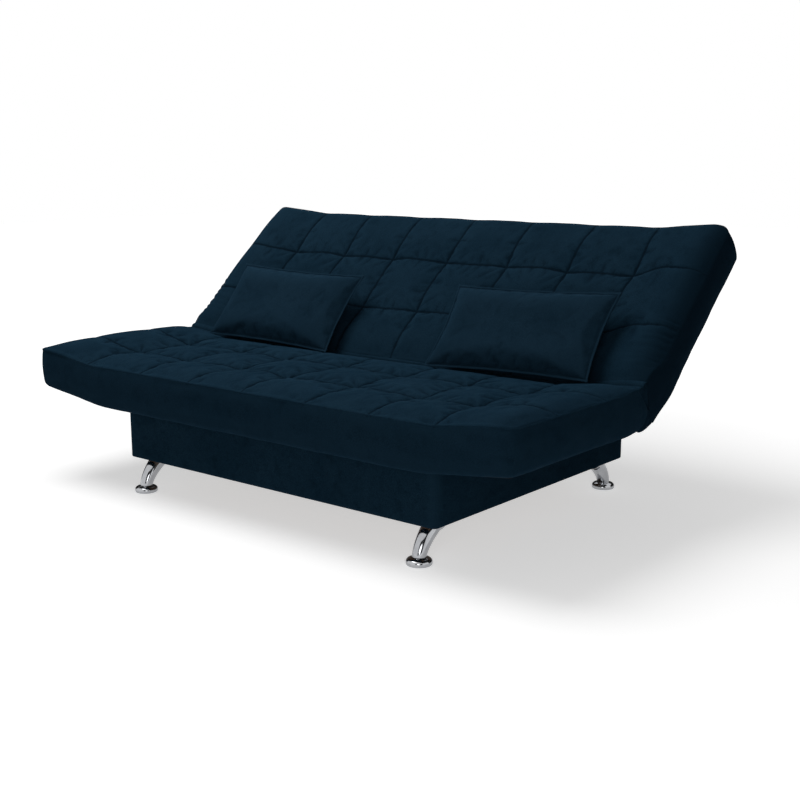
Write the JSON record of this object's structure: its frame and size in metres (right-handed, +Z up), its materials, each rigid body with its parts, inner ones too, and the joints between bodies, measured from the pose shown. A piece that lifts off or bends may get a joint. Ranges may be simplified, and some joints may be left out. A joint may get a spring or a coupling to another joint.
{
  "type": "futon sofa bed",
  "caption": "Armless click-clack sofa bed in dark quilted velvet on a cloth-covered box with curved chromed legs; its back reclines flat into a bed.",
  "frame": {"origin": "on the floor, under the middle of the object's box, with the back reclined as stored", "axes": "+X along the sofa to the right-hand end seen from the front, -Y to the front of the seat, +Z up"},
  "size_m": [1.92, 1.235, 0.8804],
  "materials": {
    "velvet_cover": "matte",
    "pillow_cloth": "matte",
    "lining_cloth": "matte",
    "foam": "matte",
    "chrome": "polished",
    "spring_steel": "satin",
    "rubber": "matte",
    "hardboard": "matte",
    "timber": "matte"
  },
  "bodies": {
    "base": {"base_centre_bearer": "timber", "base_cover": "velvet_cover", "base_floor": "hardboard", "base_front_board": "timber", "base_left_board": "timber", "base_left_bumper": "rubber", "base_rear_board": "timber", "base_right_board": "timber", "base_right_bumper": "rubber", "corner_block_front_left": "timber", "corner_block_front_right": "timber", "corner_block_rear_left": "timber", "corner_block_rear_right": "timber", "foot_front_left": "chrome", "foot_front_right": "chrome", "foot_rear_left": "chrome", "foot_rear_right": "chrome", "hinge_left_pin": "chrome", "hinge_left_seat_arm": "spring_steel", "hinge_right_pin": "chrome", "hinge_right_seat_arm": "spring_steel", "leg_front_left": "chrome", "leg_front_right": "chrome", "leg_rear_left": "chrome", "leg_rear_right": "chrome", "seat_cover": "velvet_cover", "seat_foam": "foam", "seat_front_rail": "timber", "seat_left_bearer": "timber", "seat_left_rail": "timber", "seat_lining": "lining_cloth", "seat_middle_bearer": "timber", "seat_rear_rail": "timber", "seat_right_bearer": "timber", "seat_right_rail": "timber", "seat_spring_1": "spring_steel", "seat_spring_2": "spring_steel", "seat_spring_3": "spring_steel", "seat_spring_4": "spring_steel"},
    "back": {"back_cover": "velvet_cover", "back_foam": "foam", "back_left_rail": "timber", "back_lining": "lining_cloth", "back_lower_rail": "timber", "back_middle_bearer": "timber", "back_right_rail": "timber", "back_spring_1": "spring_steel", "back_spring_2": "spring_steel", "back_spring_3": "spring_steel", "back_spring_4": "spring_steel", "back_top_rail": "timber", "hinge_left_back_arm": "spring_steel", "hinge_left_catch_housing": "spring_steel", "hinge_right_back_arm": "spring_steel", "hinge_right_catch_housing": "spring_steel"},
    "pillow_left": {"pillow_left": "pillow_cloth"},
    "pillow_right": {"pillow_right": "pillow_cloth"}
  },
  "joints": [
    {"name": "back_recline", "type": "hinge", "parent": "base", "child": "back", "pos_m": [0, 0.06955, 0.39], "axis": [1, 0, 0], "range_deg": [-42, 28]},
    {"name": "pillow_left_slide", "type": "slide", "parent": "back", "child": "pillow_left", "axis": [0, 0.7431, 0.6691], "range_m": [-0.082, 0.055]},
    {"name": "pillow_right_slide", "type": "slide", "parent": "back", "child": "pillow_right", "axis": [0, 0.7431, 0.6691], "range_m": [-0.082, 0.055]}
  ],
  "couplings": [
    {"joint": "pillow_left_slide", "follows": "back_recline", "m_per_rad": 0.11},
    {"joint": "pillow_right_slide", "follows": "back_recline", "m_per_rad": 0.11}
  ]
}
